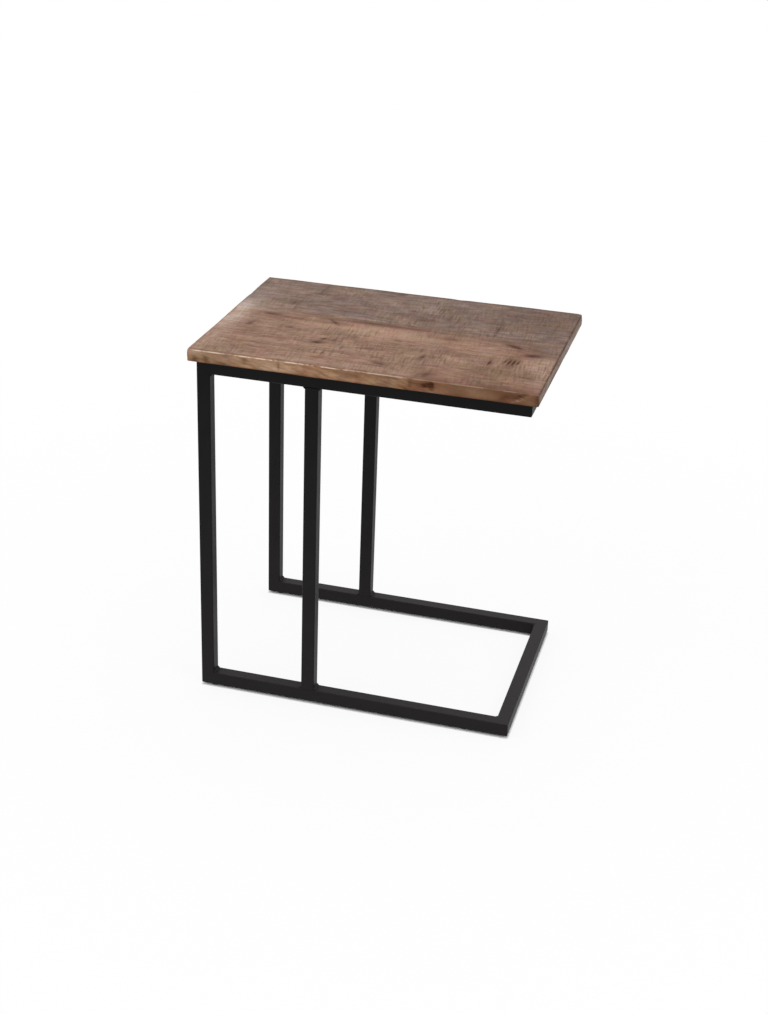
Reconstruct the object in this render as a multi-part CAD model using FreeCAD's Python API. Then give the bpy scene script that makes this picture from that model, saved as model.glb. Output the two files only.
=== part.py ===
"""C shaped side table: a solid wood top on a welded frame of square steel tube.

Millimetres. +X runs along the rails to the open end of the C, +Y to the back and +Z up.
The origin is on the floor under the middle of the table top.
"""
import FreeCAD
import Part
import math
import os
from FreeCAD import Placement, Rotation, Vector

# Whole table
overall_length = 500.0  # along X, the table top's long side
overall_depth = 350.0  # along Y
overall_height = 550.0  # floor to the top's upper face

# Wooden top: three edge-glued boards, and the rear one takes the width that is left
top_thickness = 18.0
top_overhang = 10.0  # past the frame on all four sides
front_board_width = 140.0
middle_board_width = 60.0
top_corner_radius = 3.0  # the four corners in plan
top_arris_radius = 2.5  # the worn edges round both faces

# Square steel tube
tube_size = 20.0
tube_wall = 1.5
tube_corner_radius = 2.0  # outside

# Frame
middle_leg_offset = 160.0  # left face of the frame to left face of the middle legs
side_corner_radius = 3.5  # outer edge of a leg and rail corner, ground round after welding
bar_corner_radius = 2.0  # the same where a rail meets a cross bar

# Fillet welds
bead_leg = 3.0
bead_crown = 0.4  # how far the face of the weld bulges

# Fixing tabs, flat strip welded inside the upper rails
tab_inset = 60.0  # end of the frame to the middle of the tab
tab_length = 30.0  # along the rail
tab_reach = 24.0  # from the rail's inner face
tab_thickness = 3.0
tab_corner_radius = 5.0
tab_slot_width = 4.6
tab_slot_length = 9.0  # across the boards, which swell and shrink that way
tab_slot_edge = 12.0  # rail's inner face to the middle of the slot

# Pan head wood screws
screw_diameter = 4.0
screw_length = 16.0  # below the head
screw_tip_length = 4.0
screw_head_diameter = 8.0
screw_head_height = 2.6
screw_head_bevel = 1.2
recess_width = 1.0  # cross recess
recess_span = 4.4
recess_depth = 1.3
pilot_clearance = 0.05  # on the radius
pilot_extra_depth = 1.0  # past the tip

# Plastic glides, pushed into the underside of the frame
glide_diameter = 15.0
glide_height = 3.0
glide_bevel = 1.0  # round the edge that slides on the floor
glide_left_inset = 20.0  # left face of the frame to the glides under the rails
glide_right_inset = 40.0  # front and rear faces to the glides under the cross bar
stem_diameter = 6.0
stem_clearance = 0.1  # on the radius, in the drilled hole
stem_length = 6.0
barb_height = 0.5  # how far the barb stands past the stem
barb_length = 1.5

# Places that follow from the sizes
frame_left = -overall_length / 2 + top_overhang
frame_right = overall_length / 2 - top_overhang
frame_front = -overall_depth / 2 + top_overhang
frame_rear = overall_depth / 2 - top_overhang
frame_top = overall_height - top_thickness
half_tube = tube_size / 2

left_line = frame_left + half_tube
middle_line = frame_left + middle_leg_offset + half_tube
right_line = frame_right - half_tube
front_line = frame_front + half_tube
rear_line = frame_rear - half_tube
lower_line = glide_height + half_tube
upper_line = frame_top - half_tube

bead_length = tube_size - 2 * tube_corner_radius  # a weld keeps to the flat of the tube
tool_size = 4 * tube_size  # cutting tools reach well past a tube

X = Vector(1, 0, 0)
Y = Vector(0, 1, 0)
Z = Vector(0, 0, 1)


def prism(edges, low, high):
    """Closed outline in the XY plane, extruded from one height to another."""
    face = Part.Face(Part.Wire(edges))
    face.translate(Z * low)
    return face.extrude(Z * (high - low))


def segments(points):
    """Straight edges through the points in turn."""
    return [Part.makeLine(start, end) for start, end in zip(points, points[1:])]


def facing(origin, first, second):
    """Placement whose own X and Y axes point along two square directions."""
    return Placement(origin, Rotation(first, second, first.cross(second), "XYZ"))


def placed(shape, placement):
    """Copy of a shape, carried from the origin to its place."""
    copy = shape.copy()
    copy.Placement = placement.multiply(copy.Placement)
    return copy


# Frame tubes

def square_bar(length):
    """Solid bar along +Z with the tube's outside: a square whose corners are arcs."""
    straight = half_tube - tube_corner_radius
    edges = []
    for quarter in range(4):
        turn = Rotation(Z, 90 * quarter)
        side_start = turn.multVec(Vector(half_tube, -straight, 0))
        side_end = turn.multVec(Vector(half_tube, straight, 0))
        centre = turn.multVec(Vector(straight, straight, 0))
        arc = Part.makeCircle(tube_corner_radius, centre, Z, 90 * quarter, 90 * quarter + 90)
        edges += [Part.makeLine(side_start, side_end), arc]
    return prism(edges, 0, length)


def hollow_tube(start, end):
    """Square tube whose centre line runs from start to end."""
    run = end - start
    bore_size = tube_size - 2 * tube_wall
    bore = Part.makeBox(bore_size, bore_size, run.Length, Vector(-bore_size / 2, -bore_size / 2, 0))
    return placed(square_bar(run.Length).cut(bore), Placement(start, Rotation(Z, run)))


def mitre_tool(joint, along, partner):
    """What a mitred corner takes off a tube that leaves the joint in the direction along.

    The tool's own X and Y axes point out of the corner, so the tube's waste lies where x > y,
    and the ground edge is a quarter circle at the corner's outside.
    """
    is_upright = along.z or partner.z
    radius = side_corner_radius if is_upright else bar_corner_radius
    reach = tool_size / 2
    corner_points = [
        Vector(-reach, -reach, 0),
        Vector(reach, -reach, 0),
        Vector(reach, reach, 0),
        Vector(-reach, -reach, 0),
    ]
    waste = prism(segments(corner_points), -reach, reach)
    centre = half_tube - radius
    block = Part.makeBox(reach, reach, tool_size, Vector(centre, centre, -reach))
    edge_round = Part.makeCylinder(radius, tool_size, Vector(centre, centre, -reach))
    return placed(waste.fuse(block.cut(edge_round)), facing(joint, -along, -partner))


def frame_tube(start, end, start_partner=None, end_partner=None):
    """Tube between two joints. An end with a partner is mitred with the tube that leaves that way."""
    along = (end - start).normalize()
    first = start - along * half_tube if start_partner else start
    last = end + along * half_tube if end_partner else end
    tube = hollow_tube(first, last)
    if start_partner:
        tube = tube.cut(mitre_tool(start, along, start_partner))
    if end_partner:
        tube = tube.cut(mitre_tool(end, -along, end_partner))
    return tube


def side_frame(side, line, inward):
    """Front or rear frame: two legs and two rails, whose right ends meet the cross bars."""
    lower_left = Vector(left_line, line, lower_line)
    lower_right = Vector(right_line, line, lower_line)
    upper_left = Vector(left_line, line, upper_line)
    upper_right = Vector(right_line, line, upper_line)
    middle_foot = Vector(middle_line, line, lower_line + half_tube)
    middle_head = Vector(middle_line, line, upper_line - half_tube)
    return {
        f"leg_{side}_left": frame_tube(lower_left, upper_left, X, X),
        f"leg_{side}_middle": frame_tube(middle_foot, middle_head),
        f"lower_rail_{side}": frame_tube(lower_left, lower_right, Z, inward),
        f"upper_rail_{side}": frame_tube(upper_left, upper_right, -Z, inward),
    }


def cross_bars():
    """Bars from the front frame to the rear one: two mitred, and one butted at the left."""
    bars = {}
    for name, height in (("lower_cross_bar", lower_line), ("upper_cross_bar_right", upper_line)):
        front_joint = Vector(right_line, front_line, height)
        rear_joint = Vector(right_line, rear_line, height)
        bars[name] = frame_tube(front_joint, rear_joint, -X, -X)
    bars["upper_cross_bar_left"] = frame_tube(
        Vector(left_line, front_line + half_tube, upper_line),
        Vector(left_line, rear_line - half_tube, upper_line),
    )
    return bars


# Welds

def weld_bead(corner, first_normal, second_normal, length=bead_length):
    """Fillet weld along the line where two faces meet, with a face that bulges a little."""
    bulge = bead_leg / 2 + bead_crown / math.sqrt(2)
    on_first = Vector(0, bead_leg, 0)
    on_second = Vector(bead_leg, 0, 0)
    face_arc = Part.Arc(on_second, Vector(bulge, bulge, 0), on_first).toShape()
    edges = [Part.makeLine(Vector(), on_second), face_arc, Part.makeLine(on_first, Vector())]
    bead = prism(edges, -length / 2, length / 2)
    return placed(bead, facing(corner, first_normal, second_normal))


def side_frame_beads(line):
    """Welds inside the left corners and on both sides of the middle leg's ends."""
    beads = []
    for height, inward in ((lower_line, Z), (upper_line, -Z)):
        level = height + inward.z * half_tube
        beads.append(weld_bead(Vector(left_line + half_tube, line, level), X, inward))
        for side in (X, -X):
            edge = middle_line + side.x * half_tube
            beads.append(weld_bead(Vector(edge, line, level), side, inward))
    return Part.makeCompound(beads)


def cross_bar_beads():
    """Welds inside the right corners, and beside and under the left bar."""
    beads = []
    for line, inward in ((front_line, Y), (rear_line, -Y)):
        inner_face = line + inward.y * half_tube
        for height in (lower_line, upper_line):
            beads.append(weld_bead(Vector(right_line - half_tube, inner_face, height), -X, inward))
        beads.append(weld_bead(Vector(left_line + half_tube, inner_face, upper_line), X, inward))
        beads.append(weld_bead(Vector(left_line, inner_face, upper_line - half_tube), inward, -Z))
    return Part.makeCompound(beads)


# Top fixings

def tab_places():
    """Name, point on the rail's inner face, and direction into the frame, for each tab."""
    ends = (("left", frame_left + tab_inset), ("right", frame_right - tab_inset))
    sides = (("front", front_line + half_tube, Y), ("rear", rear_line - half_tube, -Y))
    return [
        (f"{side}_{end}", Vector(place, inner_face, frame_top), inward)
        for side, inner_face, inward in sides
        for end, place in ends
    ]


def fixing_tab(root, inward):
    """Flat tab with two rounded corners and a slot across the boards."""
    plate = Part.makeBox(tab_length, tab_reach, tab_thickness, Vector(-tab_length / 2, 0, 0))
    free_corners = [
        edge
        for edge in plate.Edges
        if edge.BoundBox.ZLength > tab_thickness / 2 and edge.BoundBox.YMin > tab_reach / 2
    ]
    plate = plate.makeFillet(tab_corner_radius, free_corners)
    half_run = (tab_slot_length - tab_slot_width) / 2
    slot = Part.makeBox(
        tab_slot_width,
        2 * half_run,
        tool_size,
        Vector(-tab_slot_width / 2, tab_slot_edge - half_run, -half_tube),
    )
    for end in (-half_run, half_run):
        centre = Vector(0, tab_slot_edge + end, -half_tube)
        slot = slot.fuse(Part.makeCylinder(tab_slot_width / 2, tool_size, centre))
    across = inward.cross(Z)
    return placed(plate.cut(slot), facing(root - Z * tab_thickness, across, inward))


def tab_beads():
    """Weld under each tab, where it meets the rail."""
    length = tab_length - 2 * bead_leg
    return Part.makeCompound([
        weld_bead(root - Z * tab_thickness, inward, -Z, length)
        for _, root, inward in tab_places()
    ])


def screw_seats():
    """Point under each tab where a screw head bears."""
    return [root + inward * tab_slot_edge - Z * tab_thickness for _, root, inward in tab_places()]


def wood_screw():
    """Pan head screw along +Z with its head below the origin and a cross recess in it."""
    head = screw_head_diameter / 2
    shank = screw_diameter / 2
    outline = segments([
        Vector(0, 0, -screw_head_height),
        Vector(head - screw_head_bevel, 0, -screw_head_height),
        Vector(head, 0, screw_head_bevel - screw_head_height),
        Vector(head, 0, 0),
        Vector(shank, 0, 0),
        Vector(shank, 0, screw_length - screw_tip_length),
        Vector(0, 0, screw_length),
        Vector(0, 0, -screw_head_height),
    ])
    screw = Part.Face(Part.Wire(outline)).revolve(Vector(), Z, 360)
    for wide, deep in ((recess_span, recess_width), (recess_width, recess_span)):
        corner_point = Vector(-wide / 2, -deep / 2, -2 * screw_head_height)
        height = screw_head_height + recess_depth
        screw = screw.cut(Part.makeBox(wide, deep, height, corner_point))
    return screw


def wood_screws():
    """One screw up through each tab."""
    screw = wood_screw()
    return Part.makeCompound([placed(screw, Placement(seat, Rotation())) for seat in screw_seats()])


# Wooden top

def top_slab():
    """Whole top with rounded corners, eased edges and a pilot hole for each screw."""
    slab = Part.makeBox(
        overall_length,
        overall_depth,
        top_thickness,
        Vector(-overall_length / 2, -overall_depth / 2, frame_top),
    )
    upright = [edge for edge in slab.Edges if edge.BoundBox.ZLength > top_thickness / 2]
    slab = slab.makeFillet(top_corner_radius, upright)
    rims = [edge for edge in slab.Edges if edge.BoundBox.ZLength < top_thickness / 2]
    slab = slab.makeFillet(top_arris_radius, rims)
    depth = screw_length + pilot_extra_depth
    radius = screw_diameter / 2 + pilot_clearance
    for seat in screw_seats():
        slab = slab.cut(Part.makeCylinder(radius, depth, seat))
    return slab


def top_boards():
    """The slab sawn lengthways into its three boards."""
    slab = top_slab()
    front = -overall_depth / 2
    rear_board_width = overall_depth - front_board_width - middle_board_width
    boards = {}
    for name, width in (
        ("top_board_front", front_board_width),
        ("top_board_middle", middle_board_width),
        ("top_board_rear", rear_board_width),
    ):
        corner = Vector(-overall_length / 2, front, frame_top)
        boards[name] = slab.common(Part.makeBox(overall_length, width, top_thickness, corner))
        front += width
    return boards


# Glides

def glide_places():
    """Name and point on the floor for each glide."""
    left = frame_left + glide_left_inset
    return (
        ("front_left", Vector(left, front_line, 0)),
        ("rear_left", Vector(left, rear_line, 0)),
        ("front_right", Vector(right_line, frame_front + glide_right_inset, 0)),
        ("rear_right", Vector(right_line, frame_rear - glide_right_inset, 0)),
    )


def glide(place):
    """Round plastic foot: a flat pad, and a stem whose barb holds behind the tube's wall."""
    pad = glide_diameter / 2
    stem = stem_diameter / 2
    barb = glide_height + tube_wall
    outline = segments([
        Vector(),
        Vector(pad - glide_bevel, 0, 0),
        Vector(pad, 0, glide_bevel),
        Vector(pad, 0, glide_height),
        Vector(stem, 0, glide_height),
        Vector(stem, 0, barb),
        Vector(stem + barb_height, 0, barb),
        Vector(stem, 0, barb + barb_length),
        Vector(stem, 0, glide_height + stem_length),
        Vector(0, 0, glide_height + stem_length),
        Vector(),
    ])
    turned = Part.Face(Part.Wire(outline)).revolve(Vector(), Z, 360)
    return placed(turned, Placement(place, Rotation()))


def drill_for_glides(tube):
    """Holes through a tube's underside for the glides' stems."""
    for _, place in glide_places():
        tube = tube.cut(Part.makeCylinder(stem_diameter / 2 + stem_clearance, lower_line, place))
    return tube


# Assembly

def table_pieces():
    """Every piece of the table by name."""
    pieces = {}
    pieces.update(side_frame("front", front_line, Y))
    pieces.update(side_frame("rear", rear_line, -Y))
    pieces.update(cross_bars())
    for name in ("lower_rail_front", "lower_rail_rear", "lower_cross_bar"):
        pieces[name] = drill_for_glides(pieces[name])
    pieces["weld_beads_front_frame"] = side_frame_beads(front_line)
    pieces["weld_beads_rear_frame"] = side_frame_beads(rear_line)
    pieces["weld_beads_cross_bars"] = cross_bar_beads()
    for name, root, inward in tab_places():
        pieces[f"fixing_tab_{name}"] = fixing_tab(root, inward)
    pieces["weld_beads_tabs"] = tab_beads()
    pieces["wood_screws"] = wood_screws()
    pieces.update(top_boards())
    for name, place in glide_places():
        pieces[f"glide_{name}"] = glide(place)
    return pieces


os.makedirs("parts", exist_ok=True)
for node, shape in table_pieces().items():
    shape.exportStep(f"parts/{node}.step")
    print(f"{node}: {len(shape.Solids)} solids, {shape.Volume / 1000:.2f} cm3, valid {shape.isValid()}")
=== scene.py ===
import math

import bmesh
import bpy
import numpy as np
from mathutils import Matrix, Vector


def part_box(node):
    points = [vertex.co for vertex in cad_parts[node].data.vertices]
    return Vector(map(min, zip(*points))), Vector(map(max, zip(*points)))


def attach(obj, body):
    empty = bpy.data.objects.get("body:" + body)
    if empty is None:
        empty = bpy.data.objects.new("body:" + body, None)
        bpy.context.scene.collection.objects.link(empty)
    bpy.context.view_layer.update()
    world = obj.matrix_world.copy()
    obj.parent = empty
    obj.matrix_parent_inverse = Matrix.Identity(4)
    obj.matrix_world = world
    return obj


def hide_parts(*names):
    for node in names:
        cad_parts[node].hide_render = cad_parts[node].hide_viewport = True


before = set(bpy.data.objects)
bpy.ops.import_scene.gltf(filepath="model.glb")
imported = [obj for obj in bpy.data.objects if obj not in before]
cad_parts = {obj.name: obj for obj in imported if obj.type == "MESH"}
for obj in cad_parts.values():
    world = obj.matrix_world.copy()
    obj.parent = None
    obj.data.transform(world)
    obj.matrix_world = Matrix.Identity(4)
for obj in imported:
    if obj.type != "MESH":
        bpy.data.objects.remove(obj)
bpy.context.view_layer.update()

mm = 0.001
print("frame loaded,", len(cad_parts), "nodes")

# Camera

cameraSet = {
    "azimuth": 14.691,                 # degrees round from the front towards +X
    "elevation": 25.681,
    "roll": 2.074,
    "distance": 2.5115,                # metres to the target
    "target": (-0.0033, 0.0, 0.2654),
    "focalPixels": 1645.0,             # focal length in pixels of a picture 768 wide, 1014 high
    "longSidePixels": 1014,
    "sensor": 36.0,                    # mm, along the long side
}


def placeCamera(s):
    az, el, roll = (math.radians(s[key]) for key in ("azimuth", "elevation", "roll"))
    back = Vector((math.sin(az) * math.cos(el), -math.cos(az) * math.cos(el), math.sin(el)))
    level = Vector((0, 0, 1)).cross(back).normalized()
    upright = back.cross(level)
    right = math.cos(roll) * level + math.sin(roll) * upright
    up = back.cross(right)
    data = bpy.data.cameras.new("camera")
    data.sensor_width = s["sensor"]
    data.lens = s["focalPixels"] / s["longSidePixels"] * s["sensor"]
    camera = bpy.data.objects.new("camera", data)
    turn = Matrix((right, up, back)).transposed().to_4x4()
    camera.matrix_world = Matrix.Translation(Vector(s["target"]) + back * s["distance"]) @ turn
    bpy.context.scene.collection.objects.link(camera)
    bpy.context.scene.camera = camera


placeCamera(cameraSet)
print("camera placed")

# Materials


def hexColour(code):
    # sRGB hex to the linear colour that the shaders want
    channels = [int(code[i:i + 2], 16) / 255 for i in (1, 3, 5)]
    linear = [c / 12.92 if c <= 0.04045 else ((c + 0.055) / 1.055) ** 2.4 for c in channels]
    return (*linear, 1.0)


def addNode(tree, kind, inputs, output=None, **settings):
    # one node with its settings, values and links; gives back the output that is asked for
    node = tree.nodes.new(kind)
    for key, value in settings.items():
        setattr(node, key, value)
    for key, value in inputs.items():
        socket = node.inputs[key] if isinstance(key, int) else next(
            s for s in node.inputs if s.name == key and s.enabled)
        if isinstance(value, bpy.types.NodeSocket):
            tree.links.new(value, socket)
        else:
            socket.default_value = value
    return next(s for s in node.outputs if s.enabled and output in (None, s.name))


def startMaterial(name, **fixed):
    # a material with one Principled BSDF, and the values that are the same all over it
    material = bpy.data.materials.new(name)
    material.use_nodes = True
    tree = material.node_tree
    tree.nodes.clear()
    shader = tree.nodes.new("ShaderNodeBsdfPrincipled")
    for key, value in fixed.items():
        shader.inputs[key.replace("_", " ")].default_value = value
    surface = tree.nodes.new("ShaderNodeOutputMaterial")
    tree.links.new(shader.outputs["BSDF"], surface.inputs["Surface"])
    return material, tree, shader


def finishMaterial(tree, shader, colour, roughness, bump):
    tree.links.new(colour, shader.inputs["Base Color"])
    tree.links.new(roughness, shader.inputs["Roughness"])
    tree.links.new(bump, shader.inputs["Normal"])


powderCoatSet = {
    "colour": "#050506",
    "dustAndPaleLow": "#1d1a1b",                # paler colour of dust in patches and of the low frame; the ramp to it is painted shade, darkest under the top
    "shadeRampTop": 0.56,                # metres above the floor where that paler colour ends: painted shade of the top over the upper frame
    "dustPatch": 45.0,                 # mm
    "dustVaries": (0.6, -0.3),         # how strong the patches are, and what they start from
    "paleUpFaces": "#2b2728",              # paler still on the faces that look up, under the same mask of dust and painted shade
    "lookUp": (0.5, 0.95),             # upward part of a face's direction, where that starts and is full
    "peelSize": 1.6,                   # mm between the dimples, twice the real ones so that they show
    "peelDepth": 0.11,                 # mm
    "roughness": (0.42, 0.56),
    "specular": 0.12,
}


def blackPowderCoat(s):
    # polyester powder sprayed on steel and baked: satin near black, with a faint orange peel that
    # softens the reflections, and dust in patches; painted shade leaves it darkest up under the top and
    # greyer towards the floor, and the faces that look up are paler under the same mask
    material, tree, shader = startMaterial("blackPowderCoat", Specular_IOR_Level=s["specular"])
    place = addNode(tree, "ShaderNodeTexCoord", {}, "Object")
    dust = addNode(tree, "ShaderNodeTexNoise", {
        "Vector": place, "Scale": 1 / (s["dustPatch"] * mm), "Detail": 4.0, "Roughness": 0.6})
    height = addNode(tree, "ShaderNodeSeparateXYZ", {0: place}, "Z")
    # painted shade: the higher the frame stands, the less of the paler colour, so it is darkest under the top
    low = addNode(tree, "ShaderNodeMapRange", {
        "Value": height, "From Min": s["shadeRampTop"], "From Max": 0.0})
    dustAndShadeMask = addNode(tree, "ShaderNodeMath", {
        0: dust, 1: s["dustVaries"][0], 2: s["dustVaries"][1]}, operation="MULTIPLY_ADD")
    dustAndShadeMask = addNode(tree, "ShaderNodeMath", {0: dustAndShadeMask, 1: low}, operation="ADD", use_clamp=True)
    colour = addNode(tree, "ShaderNodeMix", {
        "Factor": dustAndShadeMask, "A": hexColour(s["colour"]), "B": hexColour(s["dustAndPaleLow"])}, data_type="RGBA")
    facing = addNode(tree, "ShaderNodeNewGeometry", {}, "True Normal")
    facing = addNode(tree, "ShaderNodeSeparateXYZ", {0: facing}, "Z")
    upFacesMask = addNode(tree, "ShaderNodeMapRange", {
        "Value": facing, "From Min": s["lookUp"][0], "From Max": s["lookUp"][1]})
    upFacesMask = addNode(tree, "ShaderNodeMath", {0: upFacesMask, 1: dustAndShadeMask}, operation="MULTIPLY")
    colour = addNode(tree, "ShaderNodeMix", {
        "Factor": upFacesMask, "A": colour, "B": hexColour(s["paleUpFaces"])}, data_type="RGBA")
    roughness = addNode(tree, "ShaderNodeMapRange", {
        "Value": dust, "To Min": s["roughness"][0], "To Max": s["roughness"][1]})
    peel = addNode(tree, "ShaderNodeTexNoise", {
        "Vector": place, "Scale": 1 / (s["peelSize"] * mm), "Detail": 2.0})
    bump = addNode(tree, "ShaderNodeBump", {"Height": peel, "Distance": s["peelDepth"] * mm})
    finishMaterial(tree, shader, colour, roughness, bump)
    return material


nylonSet = {
    "colours": ("#121213", "#242324"),
    "grainSize": 0.7,                  # mm, the spark eroded grain of the mould
    "grainDepth": 0.04,
    "roughness": (0.5, 0.75),
    "ior": 1.53,
    "specular": 0.4,
}


def mouldedNylon(s):
    # injection moulded black nylon: dull, with a fine even grain
    material, tree, shader = startMaterial(
        "mouldedNylon", IOR=s["ior"], Specular_IOR_Level=s["specular"])
    place = addNode(tree, "ShaderNodeTexCoord", {}, "Object")
    grain = addNode(tree, "ShaderNodeTexNoise", {
        "Vector": place, "Scale": 1 / (s["grainSize"] * mm), "Detail": 3.0})
    colour = addNode(tree, "ShaderNodeMix", {
        "Factor": grain, "A": hexColour(s["colours"][0]), "B": hexColour(s["colours"][1])}, data_type="RGBA")
    roughness = addNode(tree, "ShaderNodeMapRange", {
        "Value": grain, "To Min": s["roughness"][0], "To Max": s["roughness"][1]})
    bump = addNode(tree, "ShaderNodeBump", {"Height": grain, "Distance": s["grainDepth"] * mm})
    finishMaterial(tree, shader, colour, roughness, bump)
    return material


zincSet = {
    "colours": ("#8f959c", "#c9ccce"),
    "cloudSize": 2.5,                  # mm
    "cloudDepth": 0.03,
    "roughness": (0.22, 0.5),
}


def brightZincPlate(s):
    # steel screws plated with blue-white zinc: a cool metal with soft cloudy patches
    material, tree, shader = startMaterial("brightZincPlate", Metallic=1.0)
    place = addNode(tree, "ShaderNodeTexCoord", {}, "Object")
    cloud = addNode(tree, "ShaderNodeTexNoise", {
        "Vector": place, "Scale": 1 / (s["cloudSize"] * mm), "Detail": 5.0, "Roughness": 0.65})
    colour = addNode(tree, "ShaderNodeMix", {
        "Factor": cloud, "A": hexColour(s["colours"][0]), "B": hexColour(s["colours"][1])}, data_type="RGBA")
    roughness = addNode(tree, "ShaderNodeMapRange", {
        "Value": cloud, "To Min": s["roughness"][0], "To Max": s["roughness"][1]})
    bump = addNode(tree, "ShaderNodeBump", {"Height": cloud, "Distance": s["cloudDepth"] * mm})
    finishMaterial(tree, shader, colour, roughness, bump)
    return material


woodSet = {
    "pale": "#a58471",                 # lightest streaks
    "brown": "#775643",                # darkest streaks
    "greyPale": "#8d776c",             # the same two on the greyer rear board
    "grey": "#624c41",
    "tan": "#a9856f",                  # pale heart of the middle board
    "olive": "#806952",                # patches where the wax sank in
    "bare": "#fff9e4",                 # tint of the front edge, which took the stain yellower
    "ruddy": "#6d4b3a",                # where the heart wood took more stain
    "knot": "#3c1b08",
    "sawDirt": "#50382e",              # wax and dirt held in the saw marks and the pores
    "worn": "#ecd3bd",                 # arrises rubbed pale, and the painted highlight along the front one
    "ring": 7.0,                       # mm between growth rings
    "ringPush": 4.0,                   # rings that the blotches push the growth lines about
    "ringShare": (0.35, 0.9),          # of the rings in the figure, on the faces and on the end grain
    "streak": (34.0, 3.0, 3.0),        # mm long, wide and deep, coarser than real fibres so that it shows
    "mottle": (26.0, 11.0, 11.0),      # mm, the cloudy figure of mango
    "mottleShare": 0.4,
    "fibre": (9.0, 1.0, 1.0),
    "fibreShare": 0.2,
    "fleck": (19.0, 5.0, 4.2),         # mm, slanting figure of the front edge
    "fleckSlant": 13.0,                # degrees, falling to the right
    "fleckShare": 0.5,
    "figureSpan": (0.4, 0.6),          # parts of the figure that are darkest and lightest
    "pore": (7.0, 1.0, 1.0),           # mm, the real ones are 0.25 wide
    "poreSpan": (0.62, 0.74),          # parts of the noise where a pore starts and is full
    "poreShare": 0.4,
    "blotch": (48.0, 30.0, 30.0),      # mm, patches of wax and tone
    "blotchSpan": (0.3, 0.7),
    "blotchShade": (0.85, 1.15),       # how much they darken or lighten
    "waxPatch": 70.0,                  # mm, where the wax sank in
    "waxSpan": (0.48, 0.68),
    "waxShare": 0.4,
    "saw": (3.0, 26.0, 26.0),          # mm, one tooth mark of the band saw
    "sawSlant": 4.0,                   # degrees off square
    "sawPatch": 70.0,                  # mm, the saw only bit here and there
    "sawPatchSpan": (0.35, 0.6),
    "sawLeast": 0.2,                   # how much it marked the wood between those patches
    "ridgeSpan": (0.65, 0.35),         # parts of the noise that are a furrow and a ridge
    "hatch": (0.78, 1.22),             # how much they darken or lighten
    "biteSpan": (0.55, 0.72),          # parts of the noise where the furrow holds dirt
    "biteShare": 0.45,
    "stainDepth": 0.62,                # how strongly the shade deepens the colour
    "tinge": 0.26,                     # how much the wax pulls the red, green and blue apart, in patches
    "tingePatch": (26.0, 20.0, 20.0),  # mm
    "fibreSpan": (0.35, 0.65),
    "ragged": (0.5, 1.8),              # how much the fibres thin or thicken a knot, which frays its edge
    "relief": 0.3,                     # mm, height of the finest relief
    "reliefStrength": 0.7,
    "ridgeRelief": 2.0,                # heights of the saw's ridges and of the pores, in those of the figure
    "poreRelief": -1.0,
    "roughness": (0.5, 0.68),
    "ior": 1.46,
    "specular": 0.12,
}


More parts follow.
